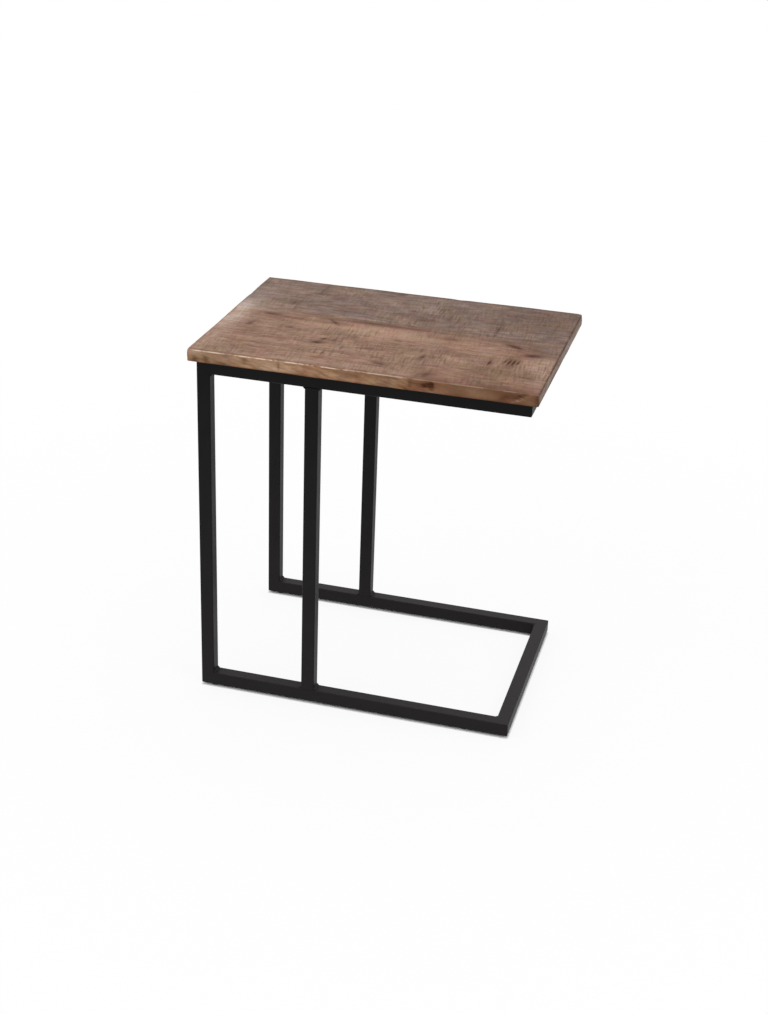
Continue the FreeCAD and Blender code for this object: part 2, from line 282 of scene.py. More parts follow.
def waxedMango(s):
    # mango sawn, lightly sanded and waxed: streaky grain, dark knots, marks of the band saw across
    # the boards, and a dull wax that lets the stain sink deeper in some patches than in others
    material, tree, shader = startMaterial("waxedMango", IOR=s["ior"], Specular_IOR_Level=s["specular"])
    place = addNode(tree, "ShaderNodeTexCoord", {}, "Object")
    log = addNode(tree, "ShaderNodeAttribute", {}, "Vector", attribute_name="logPlace")
    layers = {}
    for name in ("knots", "greyCast", "tanCast", "tone", "ruddyCast", "bare", "worn", "sawn", "endGrain"):
        layers[name] = addNode(tree, "ShaderNodeAttribute", {}, "Fac", attribute_name=name)
    turns = {
        "saw": (0, 0, math.radians(s["sawSlant"])),
        "fleck": (0, math.radians(s["fleckSlant"]), 0),
    }
    noises = {}
    for name, source, detail in (
        ("streak", log, 4.0), ("mottle", log, 3.0), ("fibre", log, 3.0), ("pore", log, 1.0),
        ("blotch", place, 4.0), ("saw", place, 4.0), ("fleck", place, 3.0),
    ):
        cell = addNode(tree, "ShaderNodeMapping", {
            "Vector": source, "Rotation": turns.get(name, (0, 0, 0)),
            "Scale": [size * mm for size in s[name]]}, vector_type="TEXTURE")
        noises[name] = addNode(tree, "ShaderNodeTexNoise", {
            "Vector": cell, "Scale": 1.0, "Detail": detail, "Roughness": 0.6})

    # growth rings: noise along the distance from the pith, pushed about by the blotches
    acrossLog = addNode(tree, "ShaderNodeVectorMath", {
        0: log, 1: (0, 1 / (s["ring"] * mm), 1 / (s["ring"] * mm))}, operation="MULTIPLY")
    radius = addNode(tree, "ShaderNodeVectorMath", {0: acrossLog}, "Value", operation="LENGTH")
    shifted = addNode(tree, "ShaderNodeMath", {
        0: noises["blotch"], 1: s["ringPush"], 2: radius}, operation="MULTIPLY_ADD")
    rings = addNode(tree, "ShaderNodeTexNoise", {
        "W": shifted, "Scale": 1.0, "Detail": 3.0}, noise_dimensions="1D")

    # streaks, rings, mottle and fibres make the figure; the rings show most on the end grain
    ringShare = addNode(tree, "ShaderNodeMapRange", {
        "Value": layers["endGrain"], "To Min": s["ringShare"][0], "To Max": s["ringShare"][1]})
    flecked = addNode(tree, "ShaderNodeMath", {
        0: layers["bare"], 1: s["fleckShare"]}, operation="MULTIPLY")
    figure = noises["streak"]
    for share, pattern in (
        (ringShare, rings), (s["mottleShare"], noises["mottle"]),
        (s["fibreShare"], noises["fibre"]), (flecked, noises["fleck"]),
    ):
        figure = addNode(tree, "ShaderNodeMix", {"Factor": share, "A": figure, "B": pattern})
    figure = addNode(tree, "ShaderNodeMapRange", {
        "Value": figure, "From Min": s["figureSpan"][0], "From Max": s["figureSpan"][1]})
    warm = addNode(tree, "ShaderNodeMix", {
        "Factor": figure, "A": hexColour(s["brown"]), "B": hexColour(s["pale"])}, data_type="RGBA")
    cool = addNode(tree, "ShaderNodeMix", {
        "Factor": figure, "A": hexColour(s["grey"]), "B": hexColour(s["greyPale"])}, data_type="RGBA")
    colour = addNode(tree, "ShaderNodeMix", {
        "Factor": layers["greyCast"], "A": warm, "B": cool}, data_type="RGBA")
    for layer, tint in (("tanCast", "tan"), ("ruddyCast", "ruddy")):
        colour = addNode(tree, "ShaderNodeMix", {
            "Factor": layers[layer], "A": colour, "B": hexColour(s[tint])}, data_type="RGBA")
    colour = addNode(tree, "ShaderNodeMix", {
        "Factor": layers["bare"], "A": colour, "B": hexColour(s["bare"])},
        data_type="RGBA", blend_type="MULTIPLY")
    shade = addNode(tree, "ShaderNodeMapRange", {
        "Value": noises["blotch"], "From Min": s["blotchSpan"][0], "From Max": s["blotchSpan"][1],
        "To Min": s["blotchShade"][0], "To Max": s["blotchShade"][1]})
    shade = addNode(tree, "ShaderNodeMath", {0: shade, 1: layers["tone"]}, operation="MULTIPLY")
    sunk = addNode(tree, "ShaderNodeTexNoise", {
        "Vector": place, "Scale": 1 / (s["waxPatch"] * mm), "Detail": 3.0, "Distortion": 0.6})
    sunk = addNode(tree, "ShaderNodeMapRange", {
        "Value": sunk, "From Min": s["waxSpan"][0], "From Max": s["waxSpan"][1], "To Max": s["waxShare"]})
    colour = addNode(tree, "ShaderNodeMix", {
        "Factor": sunk, "A": colour, "B": hexColour(s["olive"])}, data_type="RGBA")
    cell = addNode(tree, "ShaderNodeMapping", {
        "Vector": place, "Scale": [size * mm for size in s["tingePatch"]]}, vector_type="TEXTURE")
    tinge = addNode(tree, "ShaderNodeTexNoise", {"Vector": cell, "Scale": 1.0, "Detail": 3.0}, "Color")
    least = 1 - s["tinge"] / 2
    tinge = addNode(tree, "ShaderNodeVectorMath", {
        0: tinge, 1: [s["tinge"]] * 3, 2: [least] * 3}, operation="MULTIPLY_ADD")
    colour = addNode(tree, "ShaderNodeVectorMath", {0: colour, 1: tinge}, operation="MULTIPLY")

    # ridges left by the saw, in patches, and the dirt in the deepest of them
    patch = addNode(tree, "ShaderNodeTexNoise", {
        "Vector": place, "Scale": 1 / (s["sawPatch"] * mm), "Detail": 1.0})
    patch = addNode(tree, "ShaderNodeMapRange", {
        "Value": patch, "From Min": s["sawPatchSpan"][0], "From Max": s["sawPatchSpan"][1],
        "To Min": s["sawLeast"]})
    patch = addNode(tree, "ShaderNodeMath", {0: patch, 1: layers["sawn"]}, operation="MULTIPLY")
    ridge = addNode(tree, "ShaderNodeMapRange", {
        "Value": noises["saw"], "From Min": s["ridgeSpan"][0], "From Max": s["ridgeSpan"][1],
        "To Min": s["hatch"][0], "To Max": s["hatch"][1]})
    ridge = addNode(tree, "ShaderNodeMix", {"Factor": patch, "A": 1.0, "B": ridge})
    shade = addNode(tree, "ShaderNodeMath", {0: shade, 1: ridge}, operation="MULTIPLY")
    stain = addNode(tree, "ShaderNodeMath", {
        0: shade, 1: -s["stainDepth"], 2: 1 + s["stainDepth"]}, operation="MULTIPLY_ADD")
    # the shade is a power of the colour, as it is for light that passes through stain
    colour = addNode(tree, "ShaderNodeGamma", {"Color": colour, "Gamma": stain})
    bite = addNode(tree, "ShaderNodeMapRange", {
        "Value": noises["saw"], "From Min": s["biteSpan"][0], "From Max": s["biteSpan"][1]},
        interpolation_type="SMOOTHSTEP")
    bite = addNode(tree, "ShaderNodeMath", {0: bite, 1: patch}, operation="MULTIPLY")
    dirt = addNode(tree, "ShaderNodeMath", {0: bite, 1: s["biteShare"]}, operation="MULTIPLY")

    # dirt in the saw marks and the pores, dark knots, and pale arrises, rubbed and with a painted highlight,
    # one over the other
    poreMask = addNode(tree, "ShaderNodeMapRange", {
        "Value": noises["pore"], "From Min": s["poreSpan"][0], "From Max": s["poreSpan"][1],
        "To Max": s["poreShare"]})
    ragged = addNode(tree, "ShaderNodeMapRange", {
        "Value": noises["fibre"], "From Min": s["fibreSpan"][0], "From Max": s["fibreSpan"][1],
        "To Min": s["ragged"][0], "To Max": s["ragged"][1]})
    knotMask = addNode(tree, "ShaderNodeMath", {
        0: layers["knots"], 1: ragged}, operation="MULTIPLY", use_clamp=True)
    for mask, tint in (
        (dirt, "sawDirt"), (poreMask, "sawDirt"), (knotMask, "knot"), (layers["worn"], "worn"),
    ):
        colour = addNode(tree, "ShaderNodeMix", {
            "Factor": mask, "A": colour, "B": hexColour(s[tint])}, data_type="RGBA")

    roughness = addNode(tree, "ShaderNodeMapRange", {
        "Value": noises["blotch"], "From Min": s["blotchSpan"][0], "From Max": s["blotchSpan"][1],
        "To Min": s["roughness"][0], "To Max": s["roughness"][1]})
    height = figure
    for part, relief in ((ridge, s["ridgeRelief"]), (poreMask, s["poreRelief"])):
        height = addNode(tree, "ShaderNodeMath", {0: part, 1: relief, 2: height}, operation="MULTIPLY_ADD")
    bump = addNode(tree, "ShaderNodeBump", {
        "Height": height, "Strength": s["reliefStrength"], "Distance": s["relief"] * mm})
    finishMaterial(tree, shader, colour, roughness, bump)
    return material


coatMaterial = blackPowderCoat(powderCoatSet)
nylonMaterial = mouldedNylon(nylonSet)
zincMaterial = brightZincPlate(zincSet)
woodMaterial = waxedMango(woodSet)
print("materials made")

# Carried-over nodes, dressed by the first word of their names; "wood" is that of the wood screws

finishes = {
    "leg": coatMaterial, "lower": coatMaterial, "upper": coatMaterial, "fixing": coatMaterial,
    "weld": coatMaterial, "glide": nylonMaterial, "wood": zincMaterial, "top": woodMaterial,
}
for name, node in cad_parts.items():
    for place in node.material_slots:
        place.material = finishes[name.split("_")[0]]
print("frame dressed")


def latticeNoise(u, v, seed):
    # random heights on a unit lattice, joined by smooth steps; about 0 to 1. What is added to u or v
    # only moves the pattern along
    cells = 64
    table = np.random.default_rng(seed).random((cells, cells))
    i, j = np.floor(u).astype(int), np.floor(v).astype(int)
    s, t = u - i, v - j
    s, t = s * s * (3 - 2 * s), t * t * (3 - 2 * t)
    i, j, nextI, nextJ = i % cells, j % cells, (i + 1) % cells, (j + 1) % cells
    near = table[i, j] * (1 - s) + table[nextI, j] * s
    far = table[i, nextJ] * (1 - s) + table[nextI, nextJ] * s
    return near * (1 - t) + far * t


def makePiece(name, points, quads, material, nodes):
    # a mesh piece that stands for CAD nodes; points in mm
    samePoint = 1e-7   # metres, joins the points of the beads' pointed ends, which closes them
    sharpFrom = 50     # degrees between two faces
    mesh = bpy.data.meshes.new(name)
    mesh.from_pydata((points * mm).tolist(), [], quads.tolist())
    shell = bmesh.new()
    shell.from_mesh(mesh)
    bmesh.ops.remove_doubles(shell, verts=shell.verts, dist=samePoint)
    shell.to_mesh(mesh)
    shell.free()
    mesh.shade_smooth()
    mesh.set_sharp_from_angle(angle=math.radians(sharpFrom))
    mesh.materials.append(material)
    piece = bpy.data.objects.new(name, mesh)
    bpy.context.scene.collection.objects.link(piece)
    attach(piece, "root")
    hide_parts(*nodes)
    return piece


# Wooden top

boardSet = {
    "along": 1.0,                      # mm between points
    "across": 3.0,
    "through": 3.0,
    "nearArris": (0.0, 0.2, 0.5, 0.9, 1.3, 1.9, 2.6),    # mm, closer rows where it rounds over
    "arris": (0.9, 2.6),               # mm, least and most worn
    "arrisWave": 34.0,                 # mm along the edge
    "planeWave": (0.16, 75.0),         # mm deep, mm long: unevenness left by hand sanding
    "sawWave": (0.07, 3.4),            # mm deep, mm apart
    "sawLean": 0.07,                   # mm along for each mm across
    "sawHold": 70.0,                   # mm across the boards that one mark keeps its depth
    "bitePatch": 40.0,                 # mm, the saw bit deeper here and there
    "biteGain": (2.0, -0.7, 0.3),      # how sharply that sets in, from where, and the depth in between
    "endRough": (0.22, 4.5),           # mm, torn end grain
    "knotDepth": 0.25,                 # mm that a knot lies below the face
    "knotMost": 1.2,                   # most that dark marks come to where they lie over each other
    "knotPush": 0.6,                   # how strongly growth lines are pushed off a knot's middle line
    "knotReach": (6.0, 3.0),           # how far along and across that goes, in the knot's half widths
    "knotLeast": 3.0,                  # mm, least half width for that
    "halo": (2.0, 3.0, -0.2),          # dark ring round a mark: times its size, plus mm, strength
    "sideFade": 9.0,                   # mm below the upper face, over which its marks fade
    "endTone": 0.12,                   # how much paler the sawn ends are
    "greyFrom": (23.0, 4.0),           # mm, y where the rear board's grey starts, and over which it grows
    "greyCloud": (40.0, 25.0),         # mm, the clouds in it
    "greyVaries": (0.75, 0.5),         # its least share, and what the clouds add
    "ruddyEdge": (0.6, 95.0, 40.0),    # share on the front edge, x in mm where it starts, mm to be full
    "rubHighlightWidth": 1.1,                   # mm, width of the pale front arris, rubbed and with a painted highlight
    "rubHighlightStreaks": (14.0, 3.5, 9.0),    # mm, its long and its short streaks, and how far down they run
    "rubHighlightGain": (0.6, 1.6, -0.6),       # share of the short ones, how sharply they show, from where
    "rubHighlightStart": (-247.0, 12.0),        # mm, x where it starts, and over which it grows
    "rubHighlightEnd": (90.0, 100.0),           # mm, x where it ends, and over which it fades
    "rubHighlightLeast": 0.2,                   # share of it that is left beyond either
    "arrisShade": (1.8, 5.0, 2.0),          # mm from an arris that its painted shade reaches, along x, y and z
    "arrisShadeDepth": 1.0,
    "arrisShadePatch": 12.0,                # mm
    "arrisShadeLeast": 0.5,                 # share of it between the patches
    "arrisShadeClear": 4.0,                 # mm from the pale front arris, which the painted shade leaves out
    "endArrisDark": (1.6, 0.7),             # mm wide along the right end's upper arris, and the most of it
    "endArrisDarkGain": (1.2, -0.15),       # how sharply its patches set in, and from where
    "sawnLess": (0.5, 0.85),           # how much fainter the saw's marks are on the ends, on the front
    "sawnFrom": (-180.0, 90.0, 0.6),   # mm, x where they grow, over which, and their share before that
    "chips": (                         # x, y, z, reach and depth in mm
        (250, -175, 546, 5.0, 1.6), (-250, -175, 550, 4.0, 0.8), (120, -175, 550, 6.0, 0.7),
        (-40, -175, 550, 9.0, 0.5), (250, 60, 550, 7.0, 0.6), (-250, 90, 550, 8.0, 0.5),
        (250, -90, 550, 5.0, 0.8), (250, -20, 550, 6.0, 0.9), (250, 120, 550, 8.0, 0.7),
        (60, 175, 550, 9.0, 0.6), (250, 174, 549, 5.0, 0.9),
    ),
}

# Dark marks on the upper face: x, y, half length, half width in mm, darkness, degrees from the grain
topMarks = (
    (-243, 150, 5, 14, 0.35, 0), (-148, 138, 18, 1.6, 0.5, 88), (-144, 128, 14, 1.2, 0.3, 87),
    (-30, 166, 8, 5, 0.45, 0), (215, 148, 12, 5, 0.2, 0), (-170, 68, 8, 5, 0.2, 10),
    (32, 61, 11, 7, 0.35, 10), (50, 108, 18, 1.4, 0.45, 87), (67, 88, 20, 1.6, 0.4, 86),
    (80, 78, 17, 1.4, 0.35, 87), (92, 74, 14, 1.4, 0.3, 86), (133, 90, 18, 1.4, 0.3, 86),
    (145, 62, 32, 1.8, 0.45, 88), (223, 78, 30, 1.5, 0.3, 88), (-188, 10, 15, 5, 0.5, -8),
    (-140, 2, 40, 3.5, 0.3, -3), (-90, 6, 15, 3, 0.7, -46), (-45, 20, 50, 4.5, 0.4, 2),
    (25, 17, 60, 4, 0.3, 0), (110, 55, 12, 6, 0.2, 0), (-204, -39, 8, 4, 0.5, 80),
    (-158, -36, 9, 2, 0.25, 85), (-143, -37, 6, 5, 0.5, 50), (17, -39, 10, 2, 0.5, 10),
    (90, -5, 15, 7, 0.5, 0), (184, -5, 14, 4.5, 0.95, -26), (213, -32, 13, 6, 0.9, 8),
    (-89, -85, 8, 5, 0.9, 8), (-83, -68, 5, 3, 0.85, 60), (-68, -67, 4, 3, 0.5, 60),
    (-18, -85, 11, 3, 0.35, 5), (67, -92, 9, 5, 0.65, 72), (161, -79, 10, 1.8, 1, 86),
    (181, -66, 8, 1.4, 1, 84), (187, -68, 10, 1.6, 1.3, 84), (193, -68, 11, 1.6, 1.3, 86),
    (199, -66, 7, 1.5, 1.1, 84), (-68, -122, 9, 1.8, 0.35, 86), (18, -136, 14, 2.6, 0.6, -9),
    (78, -160, 10, 3, 0.3, 80), (88, -156, 8, 4, 0.5, 75), (92, -140, 8, 3, 0.15, 84),
    (100, -173, 12, 3, 0.3, 10), (218, -120, 12, 3, 0.65, -6),
)

# The same on the front edge: x, z, half length, half height in mm, darkness, degrees
edgeMarks = (
    (102, 543, 4, 5, 1.2, 0), (94, 543, 9, 4, 0.9, 20), (80, 545, 9, 3, 0.25, 0),
    (72, 541, 3, 6, 0.4, 0), (223, 543.5, 10, 3, 0.75, 25), (204, 540.5, 11, 3, 0.5, 25),
    (-238, 536, 5, 5, 0.6, 0), (-222, 539, 4, 6, 0.5, 30), (-165, 545, 6, 5, 0.35, 20),
    (-115, 541, 2, 6, 0.4, 0), (-60, 538, 7, 3, 0.3, 0), (-195, 535, 8, 3, 0.3, 10),
    (-20, 544, 9, 3, 0.25, -15), (40, 538, 6, 3, 0.3, 10), (247, 540, 4, 9, 0.5, 0),
    (150, 537, 14, 4, 0.25, 0),
)

# Paler and darker patches of the upper face: x, y, half length, half width in mm, strength
topTones = (
    (-240, 10, 22, 170, 0.34), (-232, 15, 26, 60, 0.24), (-60, -164, 130, 9, 0.16), (-130, -138, 30, 4, 0.14),
    (-235, -75, 30, 30, 0.1), (-125, -56, 70, 26, 0.16), (-20, -12, 80, 15, 0.06), (-10, 19, 100, 8, -0.16),
    (-165, 5, 34, 14, -0.08), (-85, 2, 30, 8, -0.06), (-30, -22, 50, 8, 0.08), (205, -15, 34, 26, -0.3),
    (242, -48, 22, 14, 0.3), (240, -78, 20, 26, 0.26), (165, -110, 40, 26, -0.2), (94, -158, 30, 12, 0.1),
    (195, -162, 80, 26, -0.26), (-40, 60, 90, 22, -0.12), (20, 118, 20, 50, 0.12), (210, 120, 110, 70, -0.34),
    (40, 60, 60, 30, -0.1), (112, 55, 44, 22, 0.15), (228, 45, 34, 30, 0.1), (-90, 150, 50, 30, -0.06),
    (122, 15, 60, 9, -0.2), (110, -2, 50, 10, -0.06), (-110, 110, 50, 26, -0.08), (243, -135, 8, 30, 0.14),
    (90, -12, 40, 16, -0.1), (190, 4, 45, 16, -0.26), (-190, 33, 34, 8, 0.14), (200, -162, 50, 12, -0.26),
    (-95, 33, 45, 7, 0.16), (-95, 0, 36, 9, -0.12), (-35, 33, 30, 6, 0.14), (-30, -2, 60, 8, -0.04),
    (-110, -76, 40, 12, 0.05), (140, -135, 50, 12, -0.09), (-185, -161, 45, 9, 0.08),
    (150, -162, 24, 10, -0.14),
)

# The same on the front edge: x, z, half length, half height in mm, strength
edgeTones = (
    (-128, 541, 72, 40, 0.24), (-243, 547, 16, 6, 0.2), (-243, 530, 12, 7, -0.12), (-30, 546, 50, 3, -0.12),
    (-30, 537, 60, 5, 0.06), (190, 540, 90, 40, 0.14), (221, 538, 15, 1.8, 0.5, 28),
    (60, 547, 70, 4, -0.14), (50, 533, 60, 4, 0.16), (80, 536, 19, 6, -0.6), (114, 544, 12, 3, -0.08),
    (165, 541, 36, 30, 0.08), (225, 549, 22, 2.5, 0.24), (-230, 546, 20, 3, 0.12), (-230, 535, 18, 3, -0.18),
)

# The same on the sawn ends: y, z, half length, half height in mm, strength
endTones = ((-55, 541, 34, 40, -0.3), (90, 541, 90, 40, 0.06))

# Where the wood is tan, and where it is ruddy: x, y, half length, half width in mm, strength
tanPatches = (
    (-10, -10, 100, 18, 0.8), (-100, -9, 50, 6, 0.4), (125, -7, 16, 9, 0.3), (195, -52, 40, 14, 0.3),
)
ruddyPatches = (
    (170, -108, 30, 34, 0.3), (98, -158, 26, 20, 0.5), (88, -152, 8, 12, 0.4),
    (195, -172, 70, 12, 0.4), (-10, 19, 90, 5, 0.4), (70, -80, 22, 24, 0.15),
    (190, -66, 20, 14, 0.25), (-190, -150, 40, 20, 0.15), (20, 118, 14, 40, 0.2),
)

# Where the rear board's grey runs out, and where it reaches over the joint, in the same order
greyPatches = (
    (-230, 40, 80, 34, -0.6), (-70, 30, 90, 10, -0.3), (60, 34, 80, 14, -0.2), (-250, 20, 60, 60, 0.3),
    (232, -8, 30, 24, 0.8), (160, 14, 100, 12, 0.4), (225, 130, 60, 60, -0.12),
    (-200, 17, 60, 7, 0.35), (0, 16, 300, 6, 0.12), (200, 2, 40, 12, 0.2),
)


def bell(u, v, places):
    # sum of bells over ovals: strength times e to the minus squared distance, counted in half sizes
    total = np.zeros(len(u))
    for atU, atV, halfLength, halfWidth, strength, *turn in places:
        angle = math.radians(turn[0]) if turn else 0.0
        cos, sin = math.cos(angle), math.sin(angle)
        du, dv = u - atU, v - atV
        along = (du * cos + dv * sin) / halfLength
        across = (dv * cos - du * sin) / halfWidth
        total += strength * np.exp(-along ** 2 - across ** 2)
    return total


def bendRound(x, y, marks, s):
    # growth lines pass round a knot: each is pushed by its distance from the knot's middle line, times
    # a bell that is widest along the grain
    shift = np.zeros(len(x))
    for atX, atY, _, halfWidth, strength, _ in marks:
        spread = max(halfWidth, s["knotLeast"])
        place = (atX, atY, s["knotReach"][0] * spread, s["knotReach"][1] * spread, strength)
        shift -= s["knotPush"] * (y - atY) * bell(x, y, [place])
    return shift


def boardSkin(lines):
    # the six sides of a box, each a grid of two parameters, welded along their shared edges
    corners, quads, count = [], [], 0
    for axis in range(3):
        first, second = (axis + 1) % 3, (axis + 2) % 3
        u, v = np.meshgrid(lines[first], lines[second], indexing="ij")
        for end in (0, -1):
            side = np.empty(u.shape + (3,))
            side[..., axis] = lines[axis][end]
            side[..., first] = u
            side[..., second] = v
            index = np.arange(u.size).reshape(u.shape) + count
            ring = [index[:-1, :-1], index[1:, :-1], index[1:, 1:], index[:-1, 1:]]
            quads.append(np.stack(ring if end else ring[::-1], -1).reshape(-1, 4))
            corners.append(side.reshape(-1, 3))
            count += u.size
    points, index = np.unique(np.round(np.concatenate(corners), 4), axis=0, return_inverse=True)
    return points, index.reshape(-1)[np.concatenate(quads)]


def edgeLines(low, high, step, wornLow, wornHigh, near):
    # places of the grid lines along one axis, closer together where an arris rounds over
    start = low + np.array(near if wornLow else near[:1])
    end = high - np.array(near if wornHigh else near[:1])[::-1]
    count = max(2, round((end[0] - start[-1]) / step))
    return np.concatenate([start, np.linspace(start[-1], end[0], count + 1)[1:-1], end])


def makeBoard(name, node, s, pith, glued):
    # a worn board: each point of the box goes to the ball of the arris radius round the nearest
    # point of the smaller box inside it, less the depth of the dents there
    low, high = (np.array(corner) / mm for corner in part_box(node))
    wornLow = np.array([True, not glued[0], True])
    wornHigh = np.array([True, not glued[1], True])
    steps = (s["along"], s["across"], s["through"])
    lines = [edgeLines(low[i], high[i], steps[i], wornLow[i], wornHigh[i], s["nearArris"]) for i in range(3)]
    box, quads = boardSkin(lines)
    x, y, z = box.T
    wave = latticeNoise(x / s["arrisWave"] + 7, y / s["arrisWave"] + z / 5, 11)
    radius = s["arris"][0] + (s["arris"][1] - s["arris"][0]) * wave
    inset = radius[:, None]
    nearest = np.clip(box, low + inset * wornLow, high - inset * wornHigh)
    away = box - nearest
    reach = np.abs(away).max(axis=1)
    length = np.linalg.norm(away, axis=1)
    out = away / np.maximum(length, 1e-6)[:, None]
    isFlat, isEnd = np.abs(out[:, 2]), np.abs(out[:, 0])

    # a share of z in the second coordinate lets each pattern go on down the sides
    depth = s["planeWave"][0] * latticeNoise(x / s["planeWave"][1] + 3, y / s["planeWave"][1] + z / 9, 12)
    sharp, offset, least = s["biteGain"]
    biting = latticeNoise(x / s["bitePatch"] + 9, y / s["bitePatch"] + z / 7, 13)
    biting = least + np.clip(biting * sharp + offset, 0, 1)
    tooth = latticeNoise((x + s["sawLean"] * y) / (s["sawWave"][1] / 2), y / s["sawHold"] + z, 14)
    depth += s["sawWave"][0] * tooth * biting * isFlat
    depth += s["endRough"][0] * latticeNoise(y / s["endRough"][1], z / 3 + x, 15) * isEnd
    for cx, cy, cz, size, deep in s["chips"]:
        near = np.exp(-((x - cx) ** 2 + (y - cy) ** 2 + (z - cz) ** 2) / size ** 2)
        depth += deep * near

    isFront = np.clip(-out[:, 1], 0, 1)
    below = np.exp(-((high[2] - z) / s["sideFade"]) ** 2)
    knots = bell(x, y, topMarks) * below + bell(x, z, edgeMarks) * isFront ** 2
    depth += s["knotDepth"] * np.clip(knots, 0, 1) * isFlat
    points = nearest + out * (reach - depth * reach / radius)[:, None]

    wider, margin, faint = s["halo"]
    halo = bell(x, y, [
        (atX, atY, wider * halfLength + margin, wider * halfWidth + margin, faint * dark, turn)
        for atX, atY, halfLength, halfWidth, dark, turn in topMarks])
    tone = (bell(x, y, topTones) + halo) * below + bell(x, z, edgeTones) * isFront ** 2
    tone += (s["endTone"] + bell(y, z, endTones)) * isEnd
    greyLeast, greyMore = s["greyVaries"]
    grey = greyLeast + greyMore * latticeNoise(x / s["greyCloud"][0], y / s["greyCloud"][1], 16)
    grey *= np.clip((y - s["greyFrom"][0]) / s["greyFrom"][1], 0, 1)
    grey += bell(x, y, greyPatches) * (1 - isFront) + isEnd
    ruddyShare, ruddyStart, ruddyGrow = s["ruddyEdge"]
    ruddyFront = ruddyShare * isFront ** 2 * np.clip((x - ruddyStart) / ruddyGrow, 0, 1)
    ruddy = bell(x, y, ruddyPatches) + ruddyFront
    endLess, frontLess = s["sawnLess"]
    sawnStart, sawnGrow, sawnLeast = s["sawnFrom"]
    sawn = 1 - endLess * isEnd - frontLess * isFront
    sawn *= sawnLeast + (1 - sawnLeast) * np.clip((x - sawnStart) / sawnGrow, 0, 1)

    # arrises: the front one pale, rubbed and with a painted highlight; the others darker, with painted shade
    farOff = 99.0      # mm, stands for an edge that is glued and so has no worn arris
    fromFront = np.hypot(y - low[1], z - high[2]) if wornLow[1] else np.full(len(x), farOff)
    longRun, shortRun, down = s["rubHighlightStreaks"]
    shortShare, sharp, offset = s["rubHighlightGain"]
    streaky = latticeNoise(x / longRun, z / down, 17) + shortShare * latticeNoise(x / shortRun, z / down, 19)
    # real wear with a painted highlight: the front upper arris is paler, in streaks
    rubbedHighlight = np.exp(-(fromFront / s["rubHighlightWidth"]) ** 2) * np.clip(streaky * sharp + offset, 0, 1)
    rubbedHighlight *= s["rubHighlightLeast"] + (1 - s["rubHighlightLeast"]) * np.clip((s["rubHighlightEnd"][0] - x) / s["rubHighlightEnd"][1], 0, 1)
    rubbedHighlight *= np.clip((x - s["rubHighlightStart"][0]) / s["rubHighlightStart"][1], s["rubHighlightLeast"], 1)
    toSides = np.minimum(np.where(wornLow, box - low, farOff), np.where(wornHigh, high - box, farOff))
    # the smallest is 0, as the points lie on a side, so the second is the way to the nearest arris
    fromArris = np.sort(toSides / s["arrisShade"], axis=1)[:, 1]
    patchy = latticeNoise((x + y) / s["arrisShadePatch"], z / 5 + y / 30, 20)
    arrisShaded = np.exp(-fromArris ** 2) * (s["arrisShadeLeast"] + (1 - s["arrisShadeLeast"]) * patchy)
    # painted shade: the tone darkens in patches along every worn arris but the front one
    tone -= s["arrisShadeDepth"] * arrisShaded * (1 - np.exp(-(fromFront / s["arrisShadeClear"]) ** 2))
    # darker along the right end's upper arris, added to the dark marks
    fromEnd = np.hypot(high[0] - x, high[2] - z)
    sharp, offset = s["endArrisDarkGain"]
    endArrisDark = np.clip(latticeNoise(x / 9, y / 5, 18) * sharp + offset, 0, s["endArrisDark"][1])
    knots += np.exp(-(fromEnd / s["endArrisDark"][0]) ** 2) * endArrisDark

    piece = makePiece(name, points, quads, woodMaterial, [node])
    logPlace = np.stack([x, y + bendRound(x, y, topMarks, s) - pith[0], z - pith[1]], 1) * mm
    layers = {
        "knots": np.clip(knots, 0, s["knotMost"]),
        "greyCast": np.clip(grey, 0, 1),
        "tanCast": np.clip(bell(x, y, tanPatches), 0, 1),
        "ruddyCast": np.clip(ruddy, 0, 1),
        "tone": np.exp(tone),
        "bare": isFront ** 2,
        "worn": np.clip(rubbedHighlight, 0, 1),
        "endGrain": isEnd ** 2,
        "sawn": sawn,
    }
    for key, values in layers.items():
        layer = piece.data.attributes.new(key, "FLOAT", "POINT")
        layer.data.foreach_set("value", values.astype(np.float32))
    layer = piece.data.attributes.new("logPlace", "FLOAT_VECTOR", "POINT")
    layer.data.foreach_set("vector", logPlace.astype(np.float32).ravel())
    print(name, "made,", 2 * len(quads), "triangles")


# pith: how far the heart of the tree lies behind the origin and above the floor, in mm
makeBoard("sawnBoardFront", "top_board_front", boardSet, pith=(-62, 462), glued=(False, True))
makeBoard("sawnBoardMiddle", "top_board_middle", boardSet, pith=(-4, 598), glued=(True, True))
makeBoard("sawnBoardRear", "top_board_rear", boardSet, pith=(140, 420), glued=(True, False))

# Welds

beadSet = {
    "leg": 3.8,                        # mm along each tube
    "crown": 0.4,                      # mm that the face bulges
    "sunk": 1.0,                       # mm that the root reaches into the tubes' rounded edges
    "length": 19.0,                    # mm, nearly across a tube
    "tabLength": 24.0,
    "ripples": 14,
    "rippleSpan": 16.0,                # mm of bead that has so many ripples
    "rippleDepth": 0.22,               # mm
    "crescent": 2.2,                   # how much a ripple bows, in radians
    "endShape": (8, 0.45),             # powers that keep a bead full along its length and close its ends
    "wander": (0.85, 0.3),             # least size of a bead along its length, and how much is added
    "stations": 60,                    # rows of points along a bead
    "faceRows": 12,                    # and across its face
}


